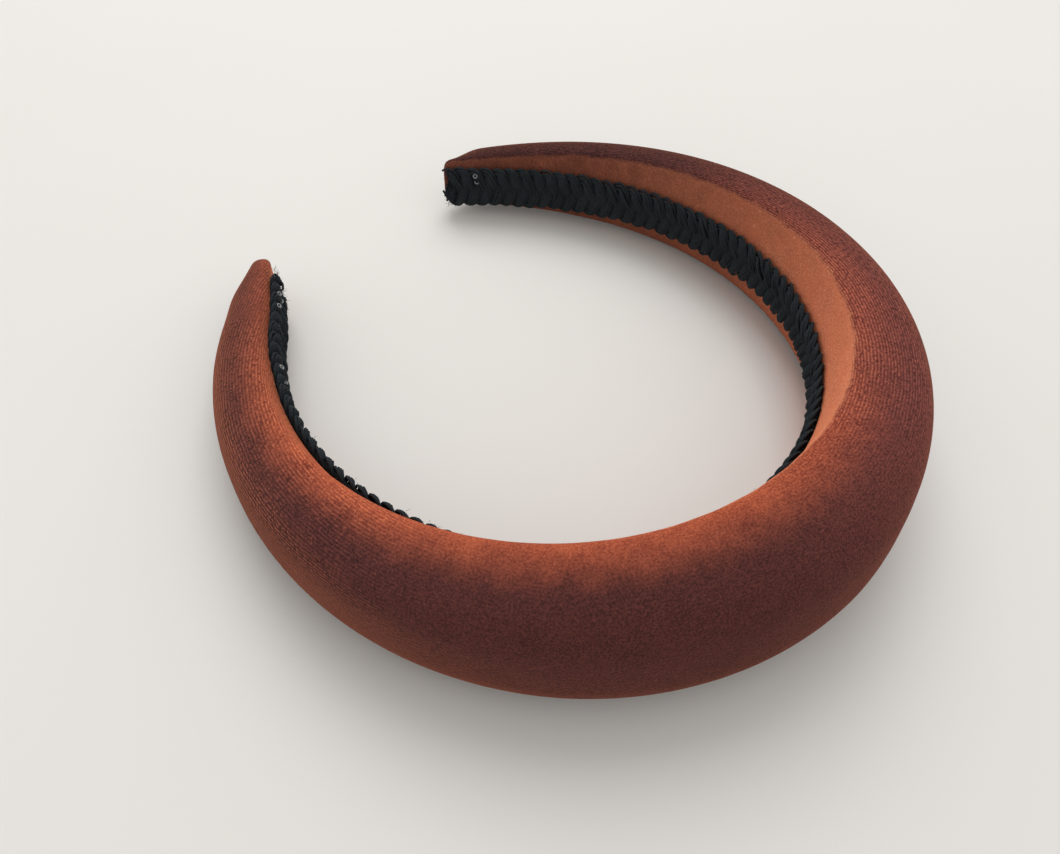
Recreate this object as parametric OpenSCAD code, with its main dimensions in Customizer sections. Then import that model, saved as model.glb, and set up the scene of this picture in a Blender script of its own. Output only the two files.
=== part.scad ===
// Padded headband in stretch velvet: a springy plastic band, a crescent foam pad on its outer face,
// a velvet cover wrapped round both, and a gimp braid glued over the cover's raw edges inside the ring.
// The headband lies on its side. The crown is towards -Y, the tips point to +Y, and the ring is
// mirrored about the plane x = 0, where the soft parts are cut because the hinge is there.

/* [Ring] */
// Length of the inner face, from tip to tip along the ring
inner_length = 340; // [320:5:360]
// Radius of the inner face at the crown
crown_radius = 59.2; // [56:0.2:64]
// Share of the crown's curvature that is gone at the tips
tip_straighten = 0.83; // [0.7:0.01:0.9]
// Angle by which the ring dips towards its tips when it lies on a table
lay_angle = 5.2; // [4:0.1:6.5]

/* [Pad] */
// Width of the pad at the crown, across the ring
crown_width = 39; // [34:1:44]
// Width of the pad at the tips
tip_width = 13.4; // [12.4:0.2:15]
// Height of the pad at the crown, from the inner face to the top of the dome
crown_height = 23.8; // [18:0.2:26]
// Height of the pad at the tips
tip_height = 7.2; // [6.6:0.2:8]
// How far the rims at the crown stand back from the inner face
crown_rim_rise = 3.5; // [2.5:0.1:4.5]
// How far the rims at the tips stand back from the inner face
tip_rim_rise = 0.8; // [0.6:0.1:1.2]
// Length over which each tip rounds off
tip_round = 7; // [5:0.5:9]

/* [Cover] */
// Thickness of the stretch velvet
velvet_t = 0.9; // [0.7:0.1:1]
// Gap between the velvet's raw edges, along the middle of the inner face
slit_width = 2.4; // [1.6:0.2:3]

/* [Band] */
// Width of the springy plastic band
band_width = 9.6; // [8:0.2:10]
// Width of the band at its rounded ends
band_tip_width = 7; // [6:0.2:7.4]
// Thickness of the band
band_t = 1.8; // [1.4:0.1:2]

/* [Trim] */
// Width of the plaited gimp braid
braid_width = 11; // [9:0.2:11.6]
// Thickness of the braid
braid_t = 2.1; // [1.4:0.1:2.4]
// Distance from each end of the braid to the tip of the cover
braid_setback = 3.4; // [2.4:0.2:5]
// Diameter of the small glue beads beside the ends of the braid
glue_bead_d = 1.6; // [1:0.1:2]
// Distances of the glue beads from the left tip and from the right tip, along the ring
glue_left = [14, 18.5, 39, 43]; // [5:0.5:50]
glue_right = [7.5, 9.5]; // [5:0.5:50]

/* [Hidden] */

half = inner_length / 2;
velvet_colour = "#8a4630";
braid_colour = "#20242a";
foam_colour = "#e8e2d0";
band_colour = "#2a2a2c";
glue_colour = "#dfe3e6";

// Exponents of the tapers from the crown to the tips, and of the dome's superellipse
width_power = 1.35;
height_power = 1.35;
height_fullness = 0.8;
rim_power = 2.6;
dome_power = 2.9;

// How far the inner face bows back at the edges of the braid
face_bow = 0.08;

// Clearance between the layers, and the lengths at the tip that each layer stops short of
layer_gap = 0.15;
braid_gap = layer_gap / 3;
folded_tip = 3;
foam_setback = 4.5;
band_setback = 4.8;
glue_setback = 6;
braid_edge = 1.1;
band_edge = 0.4;
glue_edge = 0.2;
glue_bead_side = 4.6;

// How much narrower than the cover's cavity the foam is at the tips
foam_slack = 0.5;

// Share of the pad's width and height that the very tip keeps, and the widest the flat inner face gets
tip_keep = 0.4;
flat_share = 0.42;

// Least rise of an inner rim, shortest chord of a round end, and the last section's share of the ring
least_rise = 0.1;
least_chord = 0.1;
last_share = 0.9999;

// Closest that two sections come to each other, as a share of the half ring
least_step = 0.002;

// How fast the band narrows towards its tips
band_power = 3;

// Numbers of steps along one half, round the dome, and for summing the ring
stations = 36;
tip_stations = 6;
dome_steps = 18;
ring_steps = 200;

// Direction of the inner face in degrees. u runs from -1 at the left tip, through 0 at the crown, to 1
function heading(u) = half / crown_radius * (u - tip_straighten * pow(u, 5) / 5) * 180 / PI;
function run(u) = half / ring_steps * [cos(heading(u)), sin(heading(u))];

// The right half of the inner face, summed in short steps from the crown
ring = [for (i = 0, p = [0, 0]; i <= ring_steps; p = p + run((i + 0.5) / ring_steps), i = i + 1) p];

function ring_point(u) =
    let (t = abs(u) * ring_steps, k = min(floor(t), ring_steps - 1))
    let (p = ring[k] + (ring[k + 1] - ring[k]) * (t - k))
    [sign(u) * p[0], p[1]];

// Place of a section's point [n, z], n outward from the inner face and z across it, at share u
function place(u, q) =
    let (p = ring_point(u), a = heading(u))
    [p[0] + q[0] * sin(a), p[1] - q[0] * cos(a), q[1]];
function placed(u, section) = [for (q = section) place(u, q)];

// Share of the ring at a distance from a tip
function from_tip(d) = 1 - d / half;

// Shares at which every layer has a section, closer together near the tip, so that their facets nest
leg = [for (i = [0 : stations]) from_tip(folded_tip) * (0.5 * sin(90 * i / stations) + 0.5 * i / stations)];
function shares(end) = concat([for (u = leg) if (u < end - least_step) u], [end]);

// Rounding of the tip, from 1 along the leg to 0 at the very end
function rounding(u) = sqrt(1 - pow(1 - min((1 - u) * half / tip_round, 1), 2));
function kept(u) = tip_keep + (1 - tip_keep) * rounding(u);

// Width, height and rim rise of the covered pad
function pad_width(u) =
    (tip_width + (crown_width - tip_width) * (1 - pow(u, width_power))) * kept(u);
function pad_height(u) =
    (tip_height + (crown_height - tip_height) * pow(1 - pow(u, height_power), height_fullness))
    * kept(u);
function rim_rise(u) =
    (tip_rim_rise + (crown_rim_rise - tip_rim_rise) * (1 - pow(u, rim_power))) * kept(u);

// Outline of a section, from a starting point above the middle of the inner face round to the same
// point below. The inner face is nearly flat, slopes back to the rims, and the dome is a superellipse.
function outline(w, base, top, rise, start) =
    let (
        flat_z = min(braid_width / 2, w * flat_share),
        upper = [[base, start], [base + face_bow, flat_z], [base + rise / 2, (flat_z + w / 2) / 2]],
        dome = [
            for (i = [0 : dome_steps])
            let (a = 90 - 180 * i / dome_steps, c = pow(abs(cos(a)), 2 / dome_power))
            let (s = sign(sin(a)) * pow(abs(sin(a)), 2 / dome_power))
            [base + rise + (top - base - rise) * c, w / 2 * s]
        ]
    )
    concat(upper, dome, [for (i = [2 : -1 : 0]) [upper[i][0], -upper[i][1]]]);

// Sections of the cover's outside and inside, and of the foam on the band's outer face
function cover_outside(u) = outline(pad_width(u), 0, pad_height(u), rim_rise(u), slit_width / 2);
function cover_inside(u) =
    outline(
        pad_width(u) - 2 * velvet_t, velvet_t, pad_height(u) - velvet_t,
        max(rim_rise(u) - velvet_t / 3, least_rise), slit_width / 2
    );
function foam_section(u) =
    let (base = velvet_t + band_t + 2 * layer_gap, rim = velvet_t + rim_rise(u) + layer_gap)
    outline(
        pad_width(u) - 2 * (velvet_t + layer_gap + foam_slack * u), base,
        pad_height(u) - velvet_t - layer_gap, max(rim - base, least_rise), slit_width / 2
    );

// Section of a strip with chamfered corners, from n0 to n1
function strip(w, n0, n1, edge) = [
    [n0, w / 2 - edge], [n0 + edge / 2, w / 2], [n1 - edge / 2, w / 2], [n1, w / 2 - edge],
    [n1, edge - w / 2], [n1 - edge / 2, -w / 2], [n0 + edge / 2, -w / 2], [n0, edge - w / 2]
];

// Width of a strip of width w whose end is a half circle, at a distance d from that end
function round_end(w, d) = d >= w / 2 ? w : 2 * sqrt(pow(w / 2, 2) - pow(w / 2 - max(d, least_chord), 2));

// A point of the ring once it lies on the table, and from that its lowest height and its middle
function lie(p) =
    [p[0], p[1] * cos(lay_angle) + p[2] * sin(lay_angle), p[2] * cos(lay_angle) - p[1] * sin(lay_angle)];
skin = [for (u = cover_shares(), q = placed(u, cover_outside(u))) lie(q)];
floor_z = min([for (p = skin) p[2]]);
middle_y = (min([for (p = skin) p[1]]) + max([for (p = skin) p[1]])) / 2;

// Shares at which the cover has a section: along the leg, then over its folded tip
function cover_shares() =
    let (end = leg[stations])
    concat(leg, [for (i = [1 : tip_stations]) end + (last_share - end) * sin(90 * i / tip_stations)]);

// Lays the ring on its side, with the origin under the middle of its box
module laid() {
    translate([0, -middle_y, -floor_z]) rotate([-lay_angle, 0, 0]) children();
}

function quad(a, b, c, d) = [[a, c, b], [a, d, c]];

// Closed solid through a list of sections, with a flat cap at each end
module swept(sections) {
    m = len(sections[0]);
    n = len(sections) - 1;
    sides = [
        for (i = [0 : n - 1], j = [0 : m - 1])
        let (k = (j + 1) % m)
        each quad(i * m + j, i * m + k, (i + 1) * m + k, (i + 1) * m + j)
    ];
    start = [for (j = [0 : m - 1]) j];
    end = [for (j = [m - 1 : -1 : 0]) n * m + j];
    polyhedron([for (s = sections) each s], concat(sides, [start, end]));
}

// The cover of the right half: an outer and an inner skin joined at the raw edges and at the crown's
// cut. Past the cavity's end the cloth is folded in, so the tip is solid.
module cover_half() {
    last = stations + tip_stations;
    outer = [for (u = cover_shares()) placed(u, cover_outside(u))];
    inner = [for (u = leg) placed(u, cover_inside(u))];
    m = len(outer[0]);
    in0 = (last + 1) * m;
    skins = [
        for (i = [0 : last - 1], j = [0 : m - 2])
        let (a = i * m + j, b = a + m, c = in0 + a, d = in0 + b)
        each concat(quad(a, a + 1, b + 1, b), i < stations ? quad(c + 1, c, d, d + 1) : [])
    ];
    closed_tip = [
        for (i = [stations : last - 1])
        let (a = i * m, b = a + m)
        each quad(a + m - 1, a, b, b + m - 1)
    ];
    raw_edges = [
        for (i = [0 : stations - 1])
        let (a = i * m, b = a + m, c = a + m - 1, d = b + m - 1)
        each concat(quad(a, b, in0 + b, in0 + a), quad(c, in0 + c, in0 + d, d))
    ];
    crown_cut = [for (j = [0 : m - 2]) each quad(j, in0 + j, in0 + j + 1, j + 1)];
    e = stations * m;
    slit_end = quad(e, e + m - 1, in0 + e + m - 1, in0 + e);
    inner_cap = [for (j = [0 : m - 1]) in0 + e + j];
    tip_cap = [for (j = [m - 1 : -1 : 0]) last * m + j];
    polyhedron(
        concat([for (s = outer) each s], [for (s = inner) each s]),
        concat(skins, closed_tip, raw_edges, crown_cut, slit_end, [inner_cap, tip_cap])
    );
}

module foam_half() {
    swept([for (u = shares(from_tip(foam_setback))) placed(u, foam_section(u))]);
}

// The braid is a plain strip here, with the outline of the plait's three strands
module braid_half() {
    swept([
        for (u = shares(from_tip(braid_setback)))
        placed(u, strip(braid_width, -braid_t, -braid_gap, braid_edge))
    ]);
}

// Glue that fills the slit between the raw edges and holds the braid to the band
module glue_half() {
    swept([
        for (u = shares(from_tip(glue_setback)))
        placed(u, strip(slit_width - layer_gap, 0, velvet_t, glue_edge))
    ]);
}

// A bead of glue that oozed out beside the braid, a low dome on the braid's inner face
module glue_bead(u) {
    p = place(u, [-braid_t - layer_gap, glue_bead_side]);
    translate(p) rotate([0, 0, heading(u)]) rotate([-90, 0, 0])
        rotate_extrude($fn = 24) intersection() {
            circle(d = glue_bead_d);
            square(glue_bead_d);
        }
}

module velvet_cover_left() { color(velvet_colour) laid() mirror([1, 0, 0]) cover_half(); }
module velvet_cover_right() { color(velvet_colour) laid() cover_half(); }
module foam_pad_left() { color(foam_colour) laid() mirror([1, 0, 0]) foam_half(); }
module foam_pad_right() { color(foam_colour) laid() foam_half(); }
module gimp_braid_left() { color(braid_colour) laid() mirror([1, 0, 0]) braid_half(); }
module gimp_braid_right() { color(braid_colour) laid() braid_half(); }
module glue_line_left() { color(glue_colour) laid() mirror([1, 0, 0]) glue_half(); }
module glue_line_right() { color(glue_colour) laid() glue_half(); }

// One strip from tip to tip, which the whole headband springs on
module spring_band() {
    end = from_tip(band_setback);
    right = shares(end);
    us = concat([for (i = [len(right) - 1 : -1 : 1]) -right[i]], right);
    color(band_colour) laid() swept([
        for (u = us)
        let (w = band_width + (band_tip_width - band_width) * pow(abs(u), band_power))
        let (d = (end - abs(u)) * half)
        placed(u, strip(round_end(w, d), velvet_t + layer_gap, velvet_t + layer_gap + band_t, band_edge))
    ]);
}

module tip_glue_left() {
    color(glue_colour) laid() for (d = glue_left) mirror([1, 0, 0]) glue_bead(from_tip(d));
}
module tip_glue_right() {
    color(glue_colour) laid() for (d = glue_right) glue_bead(from_tip(d));
}

velvet_cover_left();
velvet_cover_right();
foam_pad_left();
foam_pad_right();
spring_band();
gimp_braid_left();
gimp_braid_right();
glue_line_left();
glue_line_right();
tip_glue_left();
tip_glue_right();
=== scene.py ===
# %% [markdown]
# # A padded velvet headband
#
# The real object is a sprung plastic hair band with a foam roll on its outside. A sleeve of
# stretch velvet is pulled over both and glued down on the inner face, and a black gimp braid is
# glued over the seam. Every cell makes one of those pieces or one finish.

# %% A padded velvet headband
import math

import bmesh
import bpy
import numpy as np
from mathutils import Matrix, Vector


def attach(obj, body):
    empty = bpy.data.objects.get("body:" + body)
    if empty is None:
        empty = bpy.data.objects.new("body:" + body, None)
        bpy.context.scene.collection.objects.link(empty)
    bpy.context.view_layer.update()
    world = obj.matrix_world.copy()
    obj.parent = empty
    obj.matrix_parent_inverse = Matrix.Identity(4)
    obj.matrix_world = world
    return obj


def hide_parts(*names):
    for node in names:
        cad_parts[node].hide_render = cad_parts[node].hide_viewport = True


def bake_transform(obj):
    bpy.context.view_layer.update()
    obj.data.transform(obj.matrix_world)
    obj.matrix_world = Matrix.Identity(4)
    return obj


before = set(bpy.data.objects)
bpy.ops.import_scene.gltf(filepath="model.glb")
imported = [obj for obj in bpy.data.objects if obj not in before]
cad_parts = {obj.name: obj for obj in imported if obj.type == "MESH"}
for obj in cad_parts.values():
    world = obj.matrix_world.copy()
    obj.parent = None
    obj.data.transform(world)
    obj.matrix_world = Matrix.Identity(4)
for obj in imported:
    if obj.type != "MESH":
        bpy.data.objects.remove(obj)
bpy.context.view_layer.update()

# %% [markdown]
# ## The sizes
#
# A band maker works from the length along the inner face, the curve of the crown, and the roll's
# width and height at the crown and at the tips. All are in metres, the same as the CAD source.

# %% The sizes
HALF = 0.170  # inner length from crown to tip
CROWN_RADIUS = 0.0592
STRAIGHTEN = 0.83  # how far the legs lose the crown's curve
LAY = math.radians(5.2)  # the wide crown lifts the band off a table
MIDDLE_Y, FLOOR_Z = 0.052034, -0.019291
CROWN_WIDTH, TIP_WIDTH = 0.039, 0.0134
CROWN_HEIGHT, TIP_HEIGHT = 0.0238, 0.0072
CROWN_RISE, TIP_RISE = 0.0035, 0.0008
TIP_ROUND = 0.007
WIDTH_POWER, HEIGHT_FULLNESS, RISE_POWER = 1.35, 0.8, 2.6  # how the roll tapers to its tips
DOME_POWER = 2.9  # 2 would be a round dome, and more is squarer
FLAT_SHARE = 0.42  # widest that the flat inner face gets, as a share of the width
TIP_SHARE = {-1: 0.7, 1: 0.96}  # width left at each end, as a share of the tip's width
FOLD_SHARE = {-1: 0.66, 1: 0.42}  # and thickness left, where only folded velvet covers the band
FOAM_END = {-1: 0.016, 1: 0.009}  # the foam thins out over this length
VELVET = 0.0009
FACE = 0.0055  # half of the flat inner face, which the braid covers
SLIT = 0.0012
BRAID_BACK = 0.0070  # the braid stops this far short of the left tip
TWIST = math.radians(2)  # a worn band is a little twisted, each leg its own way
SPRUNG, CURL = 0.0013, 0.0034  # its left leg stands further out, and most at its tip
LEFT_X, LEFT_Y = -0.63, 0.77  # the way that leg stands out
BRAID_HIGH, BRAID_LOW = 0.0016, 0.0003  # the braid was glued on high at the left
BRAID_BUMP, BUMP_AT, BUMP_LENGTH = 0.0009, -0.085, 0.03  # and highest half way down that leg
TIP_LIFT, TIP_SHORT = 0.0013, 0.0011  # the right tip stands a little higher and shorter
SEED = 11

# %% [markdown]
# ## The ring
#
# The band's inner face is a spring strip: round at the crown, straighter towards the tips. Its
# heading is integrated along its length, which is how the strip itself is bent. A place on it is
# (u, n, z): u from -1 at the left tip to 1 at the right, n outwards from the head, z across.

# %% The ring
ring_u = np.linspace(-1, 1, 801)


def heading(u):
    return HALF / CROWN_RADIUS * (u - STRAIGHTEN * u**5 / 5)


def summed(values):
    steps = (values[1:] + values[:-1]) / 2 * np.diff(ring_u) * HALF
    total = np.concatenate([[0], np.cumsum(steps)])
    return total - np.interp(0, ring_u, total)


ring_x, ring_y = summed(np.cos(heading(ring_u))), summed(np.sin(heading(ring_u)))


def on_ring(u, n, z):
    """World places for arrays of u, n and z."""
    u = np.asarray(u, float)
    z = z + TIP_LIFT * np.clip((u - 0.4) / 0.6, 0, 1)
    u = u - TIP_SHORT / HALF * np.clip((u - 0.8) / 0.2, 0, 1)
    a = heading(u)
    twist = TWIST * np.sign(u) * np.clip((abs(u) - 0.15) / 0.4, 0, 1)
    n, z = n * np.cos(twist) - z * np.sin(twist), z * np.cos(twist) + n * np.sin(twist)
    sprung = SPRUNG * np.clip((-u - 0.35) / 0.45, 0, 1)
    sprung = sprung + CURL * np.clip((-u - 0.87) / 0.13, 0, 1) ** 1.6
    x = np.interp(u, ring_u, ring_x) + n * np.sin(a) + sprung * LEFT_X
    y = np.interp(u, ring_u, ring_y) - n * np.cos(a) + sprung * LEFT_Y
    laid_y = y * math.cos(LAY) + z * math.sin(LAY) - MIDDLE_Y
    laid_z = z * math.cos(LAY) - y * math.sin(LAY) - FLOOR_Z
    return np.stack([x + 0 * laid_y, laid_y, laid_z], -1)


print("tips", on_ring([-1, 1], 0, 0).round(4).tolist())

# %% [markdown]
# ## The section
#
# Across the band the sleeve starts at the slit under the braid, runs flat to the braid's edge,
# slopes out to a soft rim and goes over the dome of the roll to the other rim. Points are spread
# evenly along that line, so that the cloth has square cells everywhere.

# %% The section
def taper(u, crown, tip, power=WIDTH_POWER, fullness=1.0):
    return tip + (crown - tip) * (1 - abs(u) ** power) ** fullness


def roll_width(u):
    return taper(u, CROWN_WIDTH, TIP_WIDTH) * rounding(u)


def roll_height(u):
    return taper(u, CROWN_HEIGHT, TIP_HEIGHT, fullness=HEIGHT_FULLNESS) * thinning(u)


def domed(a):
    """How far out and across a squarish dome is at the angle a, each from 0 to 1."""
    across = np.sign(np.sin(a)) * np.abs(np.sin(a)) ** (2 / DOME_POWER)
    return np.abs(np.cos(a)) ** (2 / DOME_POWER), across


def rounding(u):
    left = min((1 - abs(u)) * HALF / TIP_ROUND, 1)
    share = TIP_SHARE[-1 if u < 0 else 1]
    return share + (1 - share) * math.sqrt(1 - (1 - left) ** 2)


def thinning(u):
    """The foam runs out before the tips, where only folded velvet covers the band."""
    side = -1 if u < 0 else 1
    left = min((1 - abs(u)) * HALF / FOAM_END[side], 1)
    return FOLD_SHARE[side] + (1 - FOLD_SHARE[side]) * left**2 * (3 - 2 * left)


def section(u, start, count):
    """Points (n, z) round the sleeve at u, its turn from rim (1) to rim (-1), and its length."""
    w, top = roll_width(u), roll_height(u)
    rise = taper(u, CROWN_RISE, TIP_RISE, RISE_POWER) * rounding(u)
    flat = min(FACE, FLAT_SHARE * w)
    out, across = domed(np.radians(np.linspace(90, -90, 181)))
    n, z = rise + (top - rise) * out, w / 2 * across
    low_n = np.array([0, 0, rise / 2])
    low_z = np.array([start, flat, (flat + w / 2) / 2])
    n = np.concatenate([low_n, n, low_n[::-1]])
    z = np.concatenate([low_z, z, -low_z[::-1]])
    along = np.concatenate([[0], np.cumsum(np.hypot(np.diff(n), np.diff(z)))])
    at = np.linspace(0, along[-1], count)
    turn = (along[-1] / 2 - at) / (along[-1] / 2 - along[3])
    return np.interp(at, along, n), np.interp(at, along, z), turn, along[-1]


print("crown sleeve length round", round(section(0, SLIT, 45)[3], 4))

# %% [markdown]
# ## A strip wrapped round the ring
#
# A sleeve, a foam roll and a strip of plastic all start flat. One grid is cut to the counts
# wanted and each of its rows is laid on its section. The UVs are metres along the band and
# metres round it from the middle of the dome, so a knit line stays one width all along.

# %% A strip wrapped round the ring
def wrapped(line, along, around):
    """A grid laid on line(u), which gives n, z, the turn over the dome and the length round."""
    bm = bmesh.new()
    bmesh.ops.create_grid(bm, x_segments=along, y_segments=around, size=1)
    uv = bm.loops.layers.uv.new("cloth")
    rim = bm.verts.layers.float.new("turn")
    rows = {i: line(2 * i / along - 1) for i in range(along + 1)}
    cell = {v: (round((v.co.x + 1) * along / 2), round((v.co.y + 1) * around / 2)) for v in bm.verts}
    for face in bm.faces:
        for loop in face.loops:
            i, j = cell[loop.vert]
            loop[uv].uv = ((2 * i / along - 1) * HALF, (j / around - 0.5) * rows[i][3])
    for vert, (i, j) in cell.items():
        n, z, turn, _ = rows[i]
        vert.co = on_ring(2 * i / along - 1, n[j], z[j])
        vert[rim] = turn[j]
    return bm


def shut_ends(bm, outwards):
    """Welds what touches, then closes each open end with a small raised cap."""
    bmesh.ops.remove_doubles(bm, verts=bm.verts, dist=2e-5)
    for side in (-1, 1):
        edges = [e for e in bm.edges if e.is_boundary and all(end_of(v.co, side) for v in e.verts)]
        made = bmesh.ops.extrude_edge_only(bm, edges=edges)["geom"]
        verts = [g for g in made if isinstance(g, bmesh.types.BMVert)]
        middle = sum((v.co for v in verts), Vector()) / len(verts)
        for v in verts:
            v.co = middle + (v.co - middle) * 0.62 + away_from_end(side) * side * outwards
        rim = [g for g in made if isinstance(g, bmesh.types.BMEdge) and g.is_boundary]
        cap = bmesh.ops.holes_fill(bm, edges=rim, sides=0)["faces"]
        bmesh.ops.poke(bm, faces=cap)
    bmesh.ops.recalc_face_normals(bm, faces=bm.faces)


def away_from_end(side):
    """The way the ring runs at its left (-1) or right (1) end."""
    a = heading(side)
    return Vector((math.cos(a), math.sin(a) * math.cos(LAY), -math.sin(a) * math.sin(LAY)))


def end_of(co, side):
    """True on the last row of a wrapped strip, at its left (-1) or right (1) end."""
    tip = Vector(on_ring(side, 0, 0))
    return (co - tip).length < 0.009 and abs((co - tip).dot(away_from_end(side))) < 2e-5


def in_order(part):
    """A sorting key from the places that an edge or face has among the vertices."""
    places = [v.index for v in part.verts]
    return min(places) * 1e6 + sum(places)


def piece(name, bm, material):
    """Some operators leave edges and faces in another order each run, and cloth feels that."""
    bm.verts.index_update()
    bm.edges.sort(key=in_order)
    bm.faces.sort(key=in_order)
    mesh = bpy.data.meshes.new(name)
    bm.to_mesh(mesh)
    bm.free()
    made = bpy.data.objects.new(name, mesh)
    bpy.context.scene.collection.objects.link(made)
    mesh.materials.append(material)
    mesh.shade_smooth()
    return made


def bend(made):
    """Bakes the piece's place into its mesh. Nothing here makes it flex where it crosses the crown,
    where the band's two halves flex against each other.
    """
    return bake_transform(made)


# %% [markdown]
# ## Writing a finish
#
# A finish is arithmetic on signals, such as noise and distance. `Wire` wraps one signal, so that
# a sum of signals is written as a sum. Its `node` adds any other kind of node.

# %% Writing a finish
class Wire:
    """A signal in a material. Arithmetic adds Math nodes, and node() adds any other."""

    def __init__(self, tree, socket=None):
        self.tree, self.socket = tree, socket

    def node(self, kind, inputs=(), output=0, **settings):
        made = self.tree.nodes.new(kind)
        for name, value in settings.items():
            setattr(made, name, value)
        for key, value in dict(inputs).items():
            if isinstance(value, Wire):
                self.tree.links.new(value.socket, made.inputs[key])
            else:
                made.inputs[key].default_value = value
        return Wire(self.tree, made.outputs[output])

    def math(self, operation, a, b=0.0):
        return self.node("ShaderNodeMath", {0: a, 1: b}, operation=operation)

    def __add__(self, other):
        return self.math("ADD", self, other)

    def __sub__(self, other):
        return self.math("SUBTRACT", self, other)

    def __rsub__(self, other):
        return self.math("SUBTRACT", other, self)

    def __mul__(self, other):
        return self.math("MULTIPLY", self, other)

    __radd__, __rmul__ = __add__, __mul__

    def between(self, low, high):
        """0 below low and 1 above high, with a smooth step between."""
        ends = {"Value": self, "From Min": low, "From Max": high}
        return self.node("ShaderNodeMapRange", ends, interpolation_type="SMOOTHSTEP")

    def mix(self, a, b):
        return self.node("ShaderNodeMix", {0: self, 6: a, 7: b}, 2, data_type="RGBA")

    def noise(self, where, scale, detail=2.0, rough=0.5):
        sizes = {"Vector": where, "Scale": scale, "Detail": detail, "Roughness": rough}
        return self.node("ShaderNodeTexNoise", sizes)


def colour(red, green, blue):
    """A colour as a painter reads it, 0 to 255, in the renderer's linear light."""
    def linear(c):
        c = c / 255
        return c / 12.92 if c <= 0.04045 else ((c + 0.055) / 1.055) ** 2.4
    return (linear(red), linear(green), linear(blue), 1)


def finish_named(name, recipe):
    """A material whose Principled inputs come from recipe(wire); constants are plain values."""
    made = bpy.data.materials.new(name)
    made.use_nodes = True
    shader = made.node_tree.nodes["Principled BSDF"]
    for key, value in recipe(Wire(made.node_tree)).items():
        if isinstance(value, Wire):
            made.node_tree.links.new(value.socket, shader.inputs[key])
        else:
            shader.inputs[key].default_value = value
    return made


# %% [markdown]
# ## Velvet
#
# Cut pile stands off a knitted ground. Looking straight down the pile you see dark dye; at a
# grazing angle the sides of the fibres shine. A renderer's sheen gives only a part of that. The
# rest is painted light, written as colour that changes along and round the band: painted shade
# on the dome, deepest towards the right tip; a painted highlight towards the upper rim, most on
# the left leg, standing for the pile's sheen and the light on it; and the inner slopes painted
# palest, as if lit, but in painted shade on the right leg. Knit lines show through the pile on
# both legs. This suits one light, and is partly painted on in any other.

# %% Velvet
NAP = -0.3  # the pile leans along the band, from the right tip towards the left
KNIT = 0.0007  # from one knit line to the next


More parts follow.
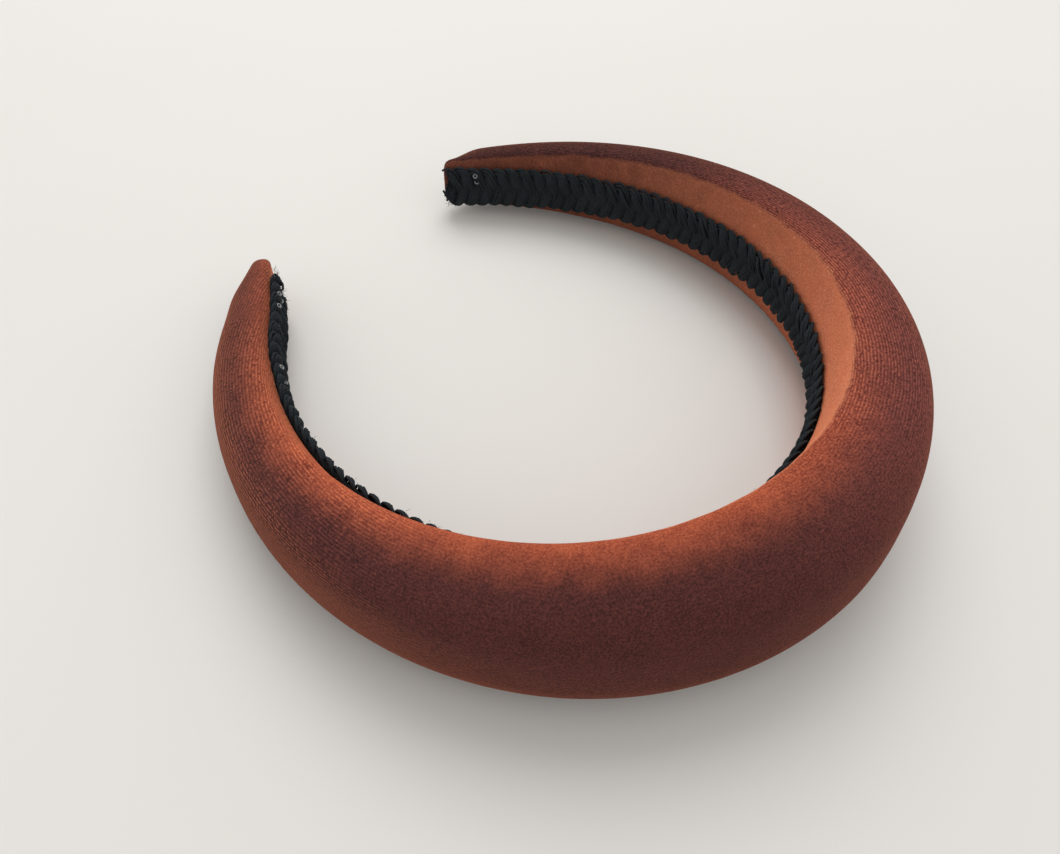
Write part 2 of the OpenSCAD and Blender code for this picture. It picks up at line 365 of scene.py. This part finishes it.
def velvet_recipe(wire):
    place = wire.node("ShaderNodeTexCoord", output=3)
    cloth = wire.node("ShaderNodeUVMap", uv_map="cloth")
    along = wire.node("ShaderNodeSeparateXYZ", {0: cloth})
    across = wire.node("ShaderNodeSeparateXYZ", {0: cloth}, 1)
    turn = wire.node("ShaderNodeAttribute", output=2, attribute_name="turn")
    pile = wire.noise(place, 2300, 2, 0.75)
    worn = wire.noise(place, 190, 5, 0.7) - 0.5
    sway = across + wire.noise(place, 170, 2) * 0.0006
    stitch = wire.node("ShaderNodeCombineXYZ", {0: along * 1300, 1: across * 1500})
    dash = wire.noise(stitch, 1, 1).between(0.32, 0.6)
    line = wire.math("SINE", sway * (2 * math.pi / KNIT)) * 0.5 + 0.5
    right_leg = along.between(-0.005, 0.035) * (1 - along.between(0.08, 0.12) * 0.7)
    ends = along.between(-0.06, -0.1) + right_leg
    shown = ends * wire.noise(place, 60, 2).between(0.25, 0.45) * 0.9 + 0.1
    rolled = along.between(-0.035, -0.075) * 0.25
    inner = (wire.math("ABSOLUTE", turn) - rolled + worn * 0.12).between(0.99, 1.06)
    knit = line * dash * shown * (1 - inner)
    crumb = wire.noise(place, 1300, 1).between(0.62, 0.72)
    fine = pile.between(0.3, 0.7) - 0.5
    # near: the left leg, fading towards its tip, where the upper rim gets the most painted
    # highlight.
    near = along.between(0.03, -0.02) * (0.9 - along.between(-0.095, -0.145) * 0.6)
    # side: a band just right of the crown. There the grain and knit show more, the dome is painted
    # lighter, and the rim gets a little of the painted highlight.
    side = along.between(-0.025, 0.02) * (1 - along.between(0.045, 0.115))
    upper_rim = (turn + worn * 0.22).between(0.6, 1.12)
    tone = fine * (side * 0.3 + 0.36) + worn * (ends * 0.2 + 0.24)
    tone = tone + knit * (upper_rim * 0.3 + side * 0.4 + 0.56)
    tone = tone + crumb * (ends * 0.3 + 0.1) - shown * 0.14 - side * 0.1 + 0.32
    # Painted highlight: along the upper rim the colour mixes from the dome's to a lit orange. It
    # stands for the pile's sheen and the light falling on it.
    lift = near * upper_rim + side * upper_rim * 0.32
    # Painted shade: the dome is dark, darker still towards the right tip, and painted lighter just
    # right of the crown, where light falls.
    shaded_dome_tone = tone - along.between(0.07, 0.15) * 0.24 + side * 0.38
    dome = (shaded_dome_tone * 0.5).mix(colour(44, 26, 27), colour(174, 96, 86))
    lit_rim_colour = tone.mix(colour(146, 58, 41), colour(255, 140, 94))
    # Painted light on the inner slopes: palest, as if lit, on the left leg, and in painted shade on
    # the right leg and partly at the left tip, with a noisy edge between.
    far = along.between(0, 0.155) + along.between(-0.11, -0.16) * 0.6 + worn * 0.5
    lit_slope_colour = tone.mix(colour(224, 128, 92), colour(255, 176, 134))
    slope = far.mix(lit_slope_colour, tone.mix(colour(84, 46, 36), colour(146, 88, 68)))
    bumps = wire.node("ShaderNodeBump", {"Strength": 0.8, "Distance": 0.0003,
                                         "Height": pile + knit * 0.8})
    lean = wire.node("ShaderNodeTangent", direction_type="UV_MAP", uv_map="cloth")
    lean = wire.node("ShaderNodeVectorMath", {0: lean, 3: NAP}, operation="SCALE")
    lean = wire.node("ShaderNodeVectorMath", {0: bumps, 1: lean}, operation="ADD")
    lean = wire.node("ShaderNodeVectorMath", {0: lean}, operation="NORMALIZE")
    return {"Base Color": inner.mix(lift.mix(dome, lit_rim_colour), slope), "Roughness": 0.9,
            "Normal": lean, "Sheen Weight": 0.62, "Sheen Roughness": 0.22,
            "Sheen Tint": colour(244, 146, 104), "Specular IOR Level": 0.1}


velvet = finish_named("velvet_rust", velvet_recipe)

# %% [markdown]
# ## The velvet sleeve
#
# The sleeve is one length of stretch velvet, its long edges turned in under the braid and its
# ends folded over the tips of the band.

# %% The velvet sleeve
ALONG, AROUND = 180, 52  # cells, near enough square
FOLDED = 0.007  # at the tips the slit is folded shut


def sleeve_line(u):
    shut = min(max(((1 - abs(u)) * HALF - FOLDED) / 0.003, 0), 1)
    return section(u, SLIT * shut, AROUND + 1)


bm = wrapped(sleeve_line, ALONG, AROUND)
shut_ends(bm, 0.0006)
cover = piece("velvet_cover", bm, velvet)
print("velvet cells", len(cover.data.polygons), "size", [round(v, 4) for v in cover.dimensions])

# %% [markdown]
# The foam fills the sleeve out. The cloth is held where it is glued to the inner face, and the
# foam's push is a pressure from inside for twenty frames. The sleeve is cut to the foam's own
# section and is stiff, so this moves it by only hundredths of a millimetre on average: the shape
# comes from the section. A cap limits how far any point may go.

# %% The velvet sleeve
FRAMES = 20


def filled_out(made, held_past, pressure, cap):
    rest = np.array([v.co for v in made.data.vertices])
    turn = np.array([a.value for a in made.data.attributes["turn"].data])
    group = made.vertex_groups.new(name="glued")
    for index in np.flatnonzero(np.abs(turn) > held_past):
        group.add([int(index)], 1.0, "REPLACE")
    cloth = made.modifiers.new("pull", "CLOTH")
    cloth.settings.vertex_group_mass = "glued"
    cloth.settings.quality = 6
    cloth.settings.mass = 0.02
    cloth.settings.tension_stiffness = cloth.settings.compression_stiffness = 8
    cloth.settings.shear_stiffness = 2
    cloth.settings.bending_stiffness = 0.05
    cloth.settings.use_pressure = True
    cloth.settings.uniform_pressure_force = pressure
    cloth.settings.effector_weights.gravity = 0
    cloth.point_cache.frame_end = FRAMES
    for number in range(1, FRAMES + 1):
        bpy.context.scene.frame_set(number)
    seen = made.evaluated_get(bpy.context.evaluated_depsgraph_get()).data
    moved = np.array([v.co for v in seen.vertices]) - rest
    made.modifiers.remove(cloth)
    bpy.context.scene.frame_set(1)
    length = np.linalg.norm(moved, axis=1, keepdims=True)
    moved = moved * np.minimum(1, cap / np.maximum(length, 1e-9))
    made.data.vertices.foreach_set("co", (rest + moved).ravel())
    made.vertex_groups.clear()
    print(made.name, "moved on average", round(float(length.mean()) * 1000, 3), "mm")


filled_out(cover, 1.25, 4.0, 0.0006)

# %% The velvet sleeve
# Cloth has a thickness, inwards from the face that shows.
shell = cover.modifiers.new("thickness", "SOLIDIFY")
shell.thickness, shell.offset = VELVET, -1
smooth = cover.modifiers.new("smooth", "SUBSURF")
smooth.levels = smooth.render_levels = 1
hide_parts("velvet_cover_left", "velvet_cover_right")
bend(cover)

# %% [markdown]
# ## Foam roll
#
# A half-round roll of polyurethane foam, cut to a point at both ends, lies on the spring band.

# %% Foam roll
def foam_recipe(wire):
    place = wire.node("ShaderNodeTexCoord", output=3)
    cells = wire.node("ShaderNodeTexVoronoi", {"Vector": place, "Scale": 1800.0})
    tone = cells * 1.1 + wire.noise(place, 60) * 0.3
    bumps = wire.node("ShaderNodeBump", {"Strength": 0.6, "Distance": 0.0004, "Height": cells})
    return {"Base Color": tone.mix(colour(196, 186, 158), colour(236, 230, 208)),
            "Roughness": 0.95, "Normal": bumps}


FOAM_BASE, FOAM_LEAST = 0.0032, 0.001  # it lies on the band, and is no thinner than this


def foam_line(u):
    w, top = roll_width(u) - 4 * VELVET, roll_height(u) - 2 * VELVET
    out, across = domed(np.radians(np.linspace(-90, 90, 19)))
    n, z = FOAM_BASE + max(top - FOAM_BASE, FOAM_LEAST) * out, w / 2 * across
    return np.append(n, [FOAM_BASE, FOAM_BASE]), np.append(z, [w / 4, -w / 2])


def inner_strip(name, line, ends, material, along, around):
    """A solid strip inside the sleeve, whose rows stop short of the left and right tips."""
    low, high = ends[0] / HALF - 1, 1 - ends[1] / HALF
    bm = bmesh.new()
    bmesh.ops.create_grid(bm, x_segments=along, y_segments=around, size=1)
    for vert in bm.verts:
        u = low + (vert.co.x + 1) / 2 * (high - low)
        n, z = line(u)
        j = round((vert.co.y + 1) * around / 2)
        vert.co = on_ring(u, n[j], z[j])
    bmesh.ops.remove_doubles(bm, verts=bm.verts, dist=2e-5)
    bmesh.ops.holes_fill(bm, edges=[e for e in bm.edges if e.is_boundary], sides=0)
    bmesh.ops.recalc_face_normals(bm, faces=bm.faces)
    return piece(name, bm, material)


foam_cream = finish_named("foam_cream", foam_recipe)
foam = inner_strip("foam_pad", foam_line, (0.0075, 0.0075), foam_cream, 90, 20)
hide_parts("foam_pad_left", "foam_pad_right")
bend(foam)
print("foam", [round(v, 4) for v in foam.dimensions])

# %% [markdown]
# ## Spring band and glue
#
# The band is a moulded strip of springy plastic, narrower at its tips. A run of hot glue holds
# the sleeve's edges and the braid to it.

# %% Spring band and glue
def plastic_recipe(wire):
    place = wire.node("ShaderNodeTexCoord", output=3)
    flow = wire.noise(place, 120, 3)
    return {"Base Color": flow.mix(colour(26, 25, 27), colour(40, 38, 41)),
            "Roughness": flow * 0.2 + 0.3}


def glue_recipe(wire):
    place = wire.node("ShaderNodeTexCoord", output=3)
    cloud = wire.noise(place, 900, 2)
    bumps = wire.node("ShaderNodeBump", {"Strength": 0.3, "Distance": 0.0001, "Height": cloud})
    return {"Base Color": cloud.mix(colour(70, 74, 77), colour(150, 153, 154)),
            "Roughness": cloud * 0.2 + 0.12, "Normal": bumps, "Coat Weight": 0.6,
            "Coat Roughness": 0.08}


def bar_line(low, high, crown, tip, edge):
    """A flat bar's section: its inner and outer n, its widths, and its rounded edges."""
    def line(u):
        w = taper(u, crown, tip) / 2
        n = np.array([low, low, low + edge, high - edge, high, high, high - edge, low + edge, low])
        z = np.array([0, w - edge, w, w, w - edge, edge - w, -w, -w, edge - w])
        return np.append(n, low), np.append(z, 0.0)
    return line


band_line = bar_line(0.00105, 0.00285, 0.0096, 0.007, 0.0004)
glue_line = bar_line(0.00002, 0.0009, 0.0018, 0.0014, 0.0002)
plastic = finish_named("spring_plastic", plastic_recipe)
hot_glue = finish_named("hot_glue", glue_recipe)
band = inner_strip("spring_band_curved", band_line, (0.0048, 0.0048), plastic, 120, 9)
seam = inner_strip("seam_glue", glue_line, (0.0102, 0.006), hot_glue, 120, 9)
for made, nodes, name in ((band, ["spring_band"], "band_plastic"),
                          (seam, ["glue_line_left", "glue_line_right"], "hot_glue")):
    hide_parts(*nodes)
    bend(made)
print("band", [round(v, 4) for v in band.dimensions])

# %% [markdown]
# ## Gimp braid
#
# The trim is a flat three-strand plait, each strand seven matt black yarns laid side by side.
# Strands swing from edge to edge and cross over and under, which leaves round lobes on both
# edges and a chevron down the middle. A thin black strip behind them closes the gaps between
# yarns. It isn't a piece of the real trim.

# %% Gimp braid
def yarn_recipe(wire):
    place = wire.node("ShaderNodeTexCoord", output=3)
    fluff = wire.noise(place, 3200, 3, 0.7)
    worn = wire.noise(place, 160, 2)
    bumps = wire.node("ShaderNodeBump", {"Strength": 0.8, "Distance": 0.00015, "Height": fluff})
    tone = fluff.between(0.3, 0.7) * 0.6 + worn * 0.5 - 0.05
    return {"Base Color": tone.mix(colour(16, 19, 21), colour(50, 56, 60)),
            "Roughness": 0.95, "Normal": bumps, "Sheen Weight": 0.1, "Sheen Roughness": 0.6,
            "Sheen Tint": colour(120, 140, 150), "Specular IOR Level": 0.12}


def fibre_recipe(wire):
    place = wire.node("ShaderNodeTexCoord", output=3)
    return {"Base Color": wire.noise(place, 500).mix(colour(8, 9, 10), colour(30, 33, 35)),
            "Roughness": 1.0, "Specular IOR Level": 0.0}


yarn_black = finish_named("yarn_black", yarn_recipe)
fibre_black = finish_named("fibre_black", fibre_recipe)
random = np.random.default_rng(SEED)
SWING, PERIOD, YARN = 0.0046, 0.0102, 0.00029
STRAND_WIDTH, CROSSING = 0.0027, 0.0007
YARNS = 7


def tube(name, lines, radius, sides, material):
    """Round yarn or fibre along each line of points, as one mesh."""
    curve = bpy.data.curves.new(name, "CURVE")
    curve.dimensions, curve.bevel_depth, curve.bevel_resolution = "3D", radius, sides
    curve.use_fill_caps = True
    for points in lines:
        spline = curve.splines.new("POLY")
        spline.points.add(len(points) - 1)
        spline.points.foreach_set("co", np.c_[points, np.ones(len(points))].ravel())
    maker = bpy.data.objects.new(name + "_line", curve)
    bpy.context.scene.collection.objects.link(maker)
    bpy.context.view_layer.update()
    seen = maker.evaluated_get(bpy.context.evaluated_depsgraph_get())
    mesh = bpy.data.meshes.new_from_object(seen)
    bpy.data.objects.remove(maker)
    made = bpy.data.objects.new(name, mesh)
    bpy.context.scene.collection.objects.link(made)
    mesh.materials.clear()
    mesh.materials.append(material)
    mesh.shade_smooth()
    return made


def yarn_path(strand, place):
    """One yarn of a strand: place runs from -1 to 1 across the strand."""
    cut = random.uniform(-0.0003, 0.0003, 2)
    low, high = -HALF + BRAID_BACK + cut[0], HALF - 0.0004 + cut[1]
    s = np.arange(low, high, 0.00026)
    turn = 2 * math.pi * (s / PERIOD + strand / 3)
    slope = SWING * 2 * math.pi / PERIOD * np.cos(turn)
    bunched = np.where(place * np.sin(turn) < 0, 1 - 0.62 * np.abs(np.sin(turn)) ** 3, 1)
    offset = place * STRAND_WIDTH / 2 * bunched / np.hypot(1, slope)
    uneven = np.interp(s, np.linspace(low, high, 150), random.normal(0, 0.00016, 150))
    near_cut = np.clip(1 - (s - low) / 0.003, 0, 1) + np.clip(1 - (high - s) / 0.003, 0, 1)
    lift = CROSSING * np.sin(2 * turn) + 0.0006 * (1 - place**2)
    n = -0.0009 - lift - near_cut * abs(random.normal(0, 0.0003)) + uneven * 0.6
    narrow = np.clip(0.8 + (s - low) / 0.015, 0, 1)
    out = (SWING * np.sin(turn) + offset + uneven) * narrow
    return on_ring((s - offset * slope) / HALF, n, out + skew(s))


def skew(s):
    high = BRAID_HIGH + BRAID_BUMP * np.exp(-((s - BUMP_AT) / BUMP_LENGTH) ** 2)
    return np.where(s < 0, high, BRAID_LOW) * -np.tanh(s / 0.06)


def core_line(u):
    n, z = bar_line(-0.0011, -0.0002, 0.0084, 0.0084, 0.0003)(u)
    return n, z + skew(u * HALF)


core = inner_strip("gimp_core", core_line, (0.0082, 0.0014), yarn_black, 120, 9)
bend(core)

for strand in range(3):
    lines = [yarn_path(strand, p) for p in np.linspace(-1, 1, YARNS)]
    made = tube(f"gimp_strand_{strand + 1}", lines, YARN, 1, yarn_black)
    bend(made)
    if strand == 0:
        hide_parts("gimp_braid_left", "gimp_braid_right")
    print(made.name, "triangles", sum(len(p.vertices) - 2 for p in made.data.polygons))

# %% [markdown]
# Gimp sheds. Short fibres stand off its edges everywhere and thickest at the two cut ends.

# %% Gimp braid
def fibre(s, side, reach):
    steps = np.linspace(0, 1, 5)[:, None]
    root = on_ring(s / HALF, -0.0012 - random.uniform(0, 0.0008), side * (SWING + 0.001) + skew(s))
    across = on_ring(s / HALF, 0, 0.001) - on_ring(s / HALF, 0, 0)
    inward = on_ring(s / HALF, -0.001, 0) - on_ring(s / HALF, 0, 0)
    along = on_ring(s / HALF + 0.001 / HALF, 0, 0) - on_ring(s / HALF, 0, 0)
    way = across * side * random.uniform(0.2, 1) + inward * random.uniform(0, 0.9)
    way = way + along * random.normal(0, 0.8)
    curl = random.normal(0, 0.5, 3) * 0.001
    return root + reach * 1000 * way * steps + curl * reach * 1000 * steps**2


places = [(random.uniform(-1, 1) * (HALF - 0.005), random.choice([-1, 1]) * random.uniform(0.3, 1),
           random.uniform(0.0003, 0.0008)) for _ in range(420)]
places += [(random.uniform(-1, 1) * (HALF - 0.005), random.uniform(-0.8, 0.8),
            random.uniform(0.0002, 0.0005)) for _ in range(1500)]
places += [(end + random.uniform(-0.0006, 0.0025) * np.sign(-end), random.uniform(-1, 1),
            random.uniform(0.0003, 0.001))
           for end in (-HALF + BRAID_BACK, HALF - 0.0006) for _ in range(260)]
fluff = tube("gimp_fluff", [fibre(*p) for p in places], 0.000028, 0, fibre_black)
bend(fluff)

# %% [markdown]
# ## Glue at the tips
#
# Hot glue has squeezed out beside the braid near each tip. It shows as small shiny rings, so
# each bead is a little circle spun round, which is simpler than the real smears.

# %% Glue at the tips
def bead(name, body, from_tip, z, side):
    """A loop of squeezed glue: a small circle spun into a ring, and laid on the braid."""
    u = side * (1 - from_tip / HALF)
    bm = bmesh.new()
    made = bmesh.ops.create_circle(bm, segments=8, radius=0.00017)["verts"]
    bmesh.ops.rotate(bm, verts=made, cent=(0, 0, 0), matrix=Matrix.Rotation(math.pi / 2, 3, "X"))
    bmesh.ops.translate(bm, verts=made, vec=(0.00048, 0, 0))
    bmesh.ops.spin(bm, geom=bm.verts[:] + bm.edges[:], cent=(0, 0, 0), axis=(0, 0, 1),
                   dvec=(0, 0, 0), angle=2 * math.pi, steps=20, use_merge=True)
    bmesh.ops.recalc_face_normals(bm, faces=bm.faces)
    ring = piece(name, bm, hot_glue)
    facing = Vector(on_ring(u, 0, 0)) - Vector(on_ring(u, 0.001, -0.0008))
    turn = facing.to_track_quat("Z", "Y").to_matrix().to_4x4()
    ring.data.transform(Matrix.Translation(Vector(on_ring(u, -0.0022, z + skew(u * HALF)))) @ turn)
    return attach(ring, body)


left_beads = [bead(f"glue_bead_left_{i}", "left_half", *at, -1) for i, at in enumerate(
    ((0.014, 0.0043), (0.0144, 0.0024), (0.0186, 0.0047), (0.039, 0.0046), (0.043, 0.0037)), 1)]
right_beads = [bead(f"glue_bead_right_{i}", "right_half", *at, 1) for i, at in enumerate(
    ((0.0082, 0.0044), (0.0086, 0.0026)), 1)]
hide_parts("tip_glue_left")
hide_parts("tip_glue_right")

# %% [markdown]
# ## Table, light and camera
#
# The band lies on a pale table by a large window behind and to the right, in a white room.

# %% Table, light and camera
def table_recipe(wire):
    place = wire.node("ShaderNodeTexCoord", output=3)
    cloud = wire.noise(place, 6, 3)
    return {"Base Color": cloud.mix(colour(223, 221, 217), colour(229, 228, 225)), "Roughness": 0.6,
            "Specular IOR Level": 0.3}


bm = bmesh.new()
bmesh.ops.create_circle(bm, cap_ends=True, segments=64, radius=12)
floor = piece("table_top", bm, finish_named("table_white", table_recipe))

world = bpy.data.worlds.new("room")
bpy.context.scene.world = world
world.use_nodes = True
world.node_tree.nodes["Background"].inputs["Color"].default_value = (1.0, 0.985, 0.965, 1)
world.node_tree.nodes["Background"].inputs["Strength"].default_value = 0.74


def window(name, place, aim, size, power, tint):
    lamp = bpy.data.lights.new(name, "AREA")
    lamp.shape, lamp.size, lamp.energy, lamp.color = "SQUARE", size, power, tint
    made = bpy.data.objects.new(name, lamp)
    bpy.context.scene.collection.objects.link(made)
    made.location = place
    made.rotation_mode = "QUATERNION"
    made.rotation_quaternion = (Vector(aim) - Vector(place)).to_track_quat("-Z", "Y")


window("window", (0.35, 0.45, 0.95), (0, 0, 0), 0.8, 5.5, (1.0, 0.99, 0.98))

camera = bpy.data.objects.new("camera", bpy.data.cameras.new("camera"))
bpy.context.scene.collection.objects.link(camera)
bpy.context.scene.camera = camera
azimuth, elevation, roll = (math.radians(a) for a in (-50.829, 52.499, 6.55))
back = Vector((math.sin(azimuth) * math.cos(elevation), -math.cos(azimuth) * math.cos(elevation),
               math.sin(elevation)))
level = Vector((math.cos(azimuth), math.sin(azimuth), 0))
upright = back.cross(level)
right = math.cos(roll) * level + math.sin(roll) * upright
up = math.cos(roll) * upright - math.sin(roll) * level
camera.matrix_world = Matrix.Translation((-0.121576, -0.086621, 0.186137)) @ Matrix(
    (right, up, back)).transposed().to_4x4()
camera.data.lens, camera.data.sensor_width = 34.134, 36
camera.data.clip_start = 0.01
bpy.context.scene.view_settings.view_transform = "Standard"
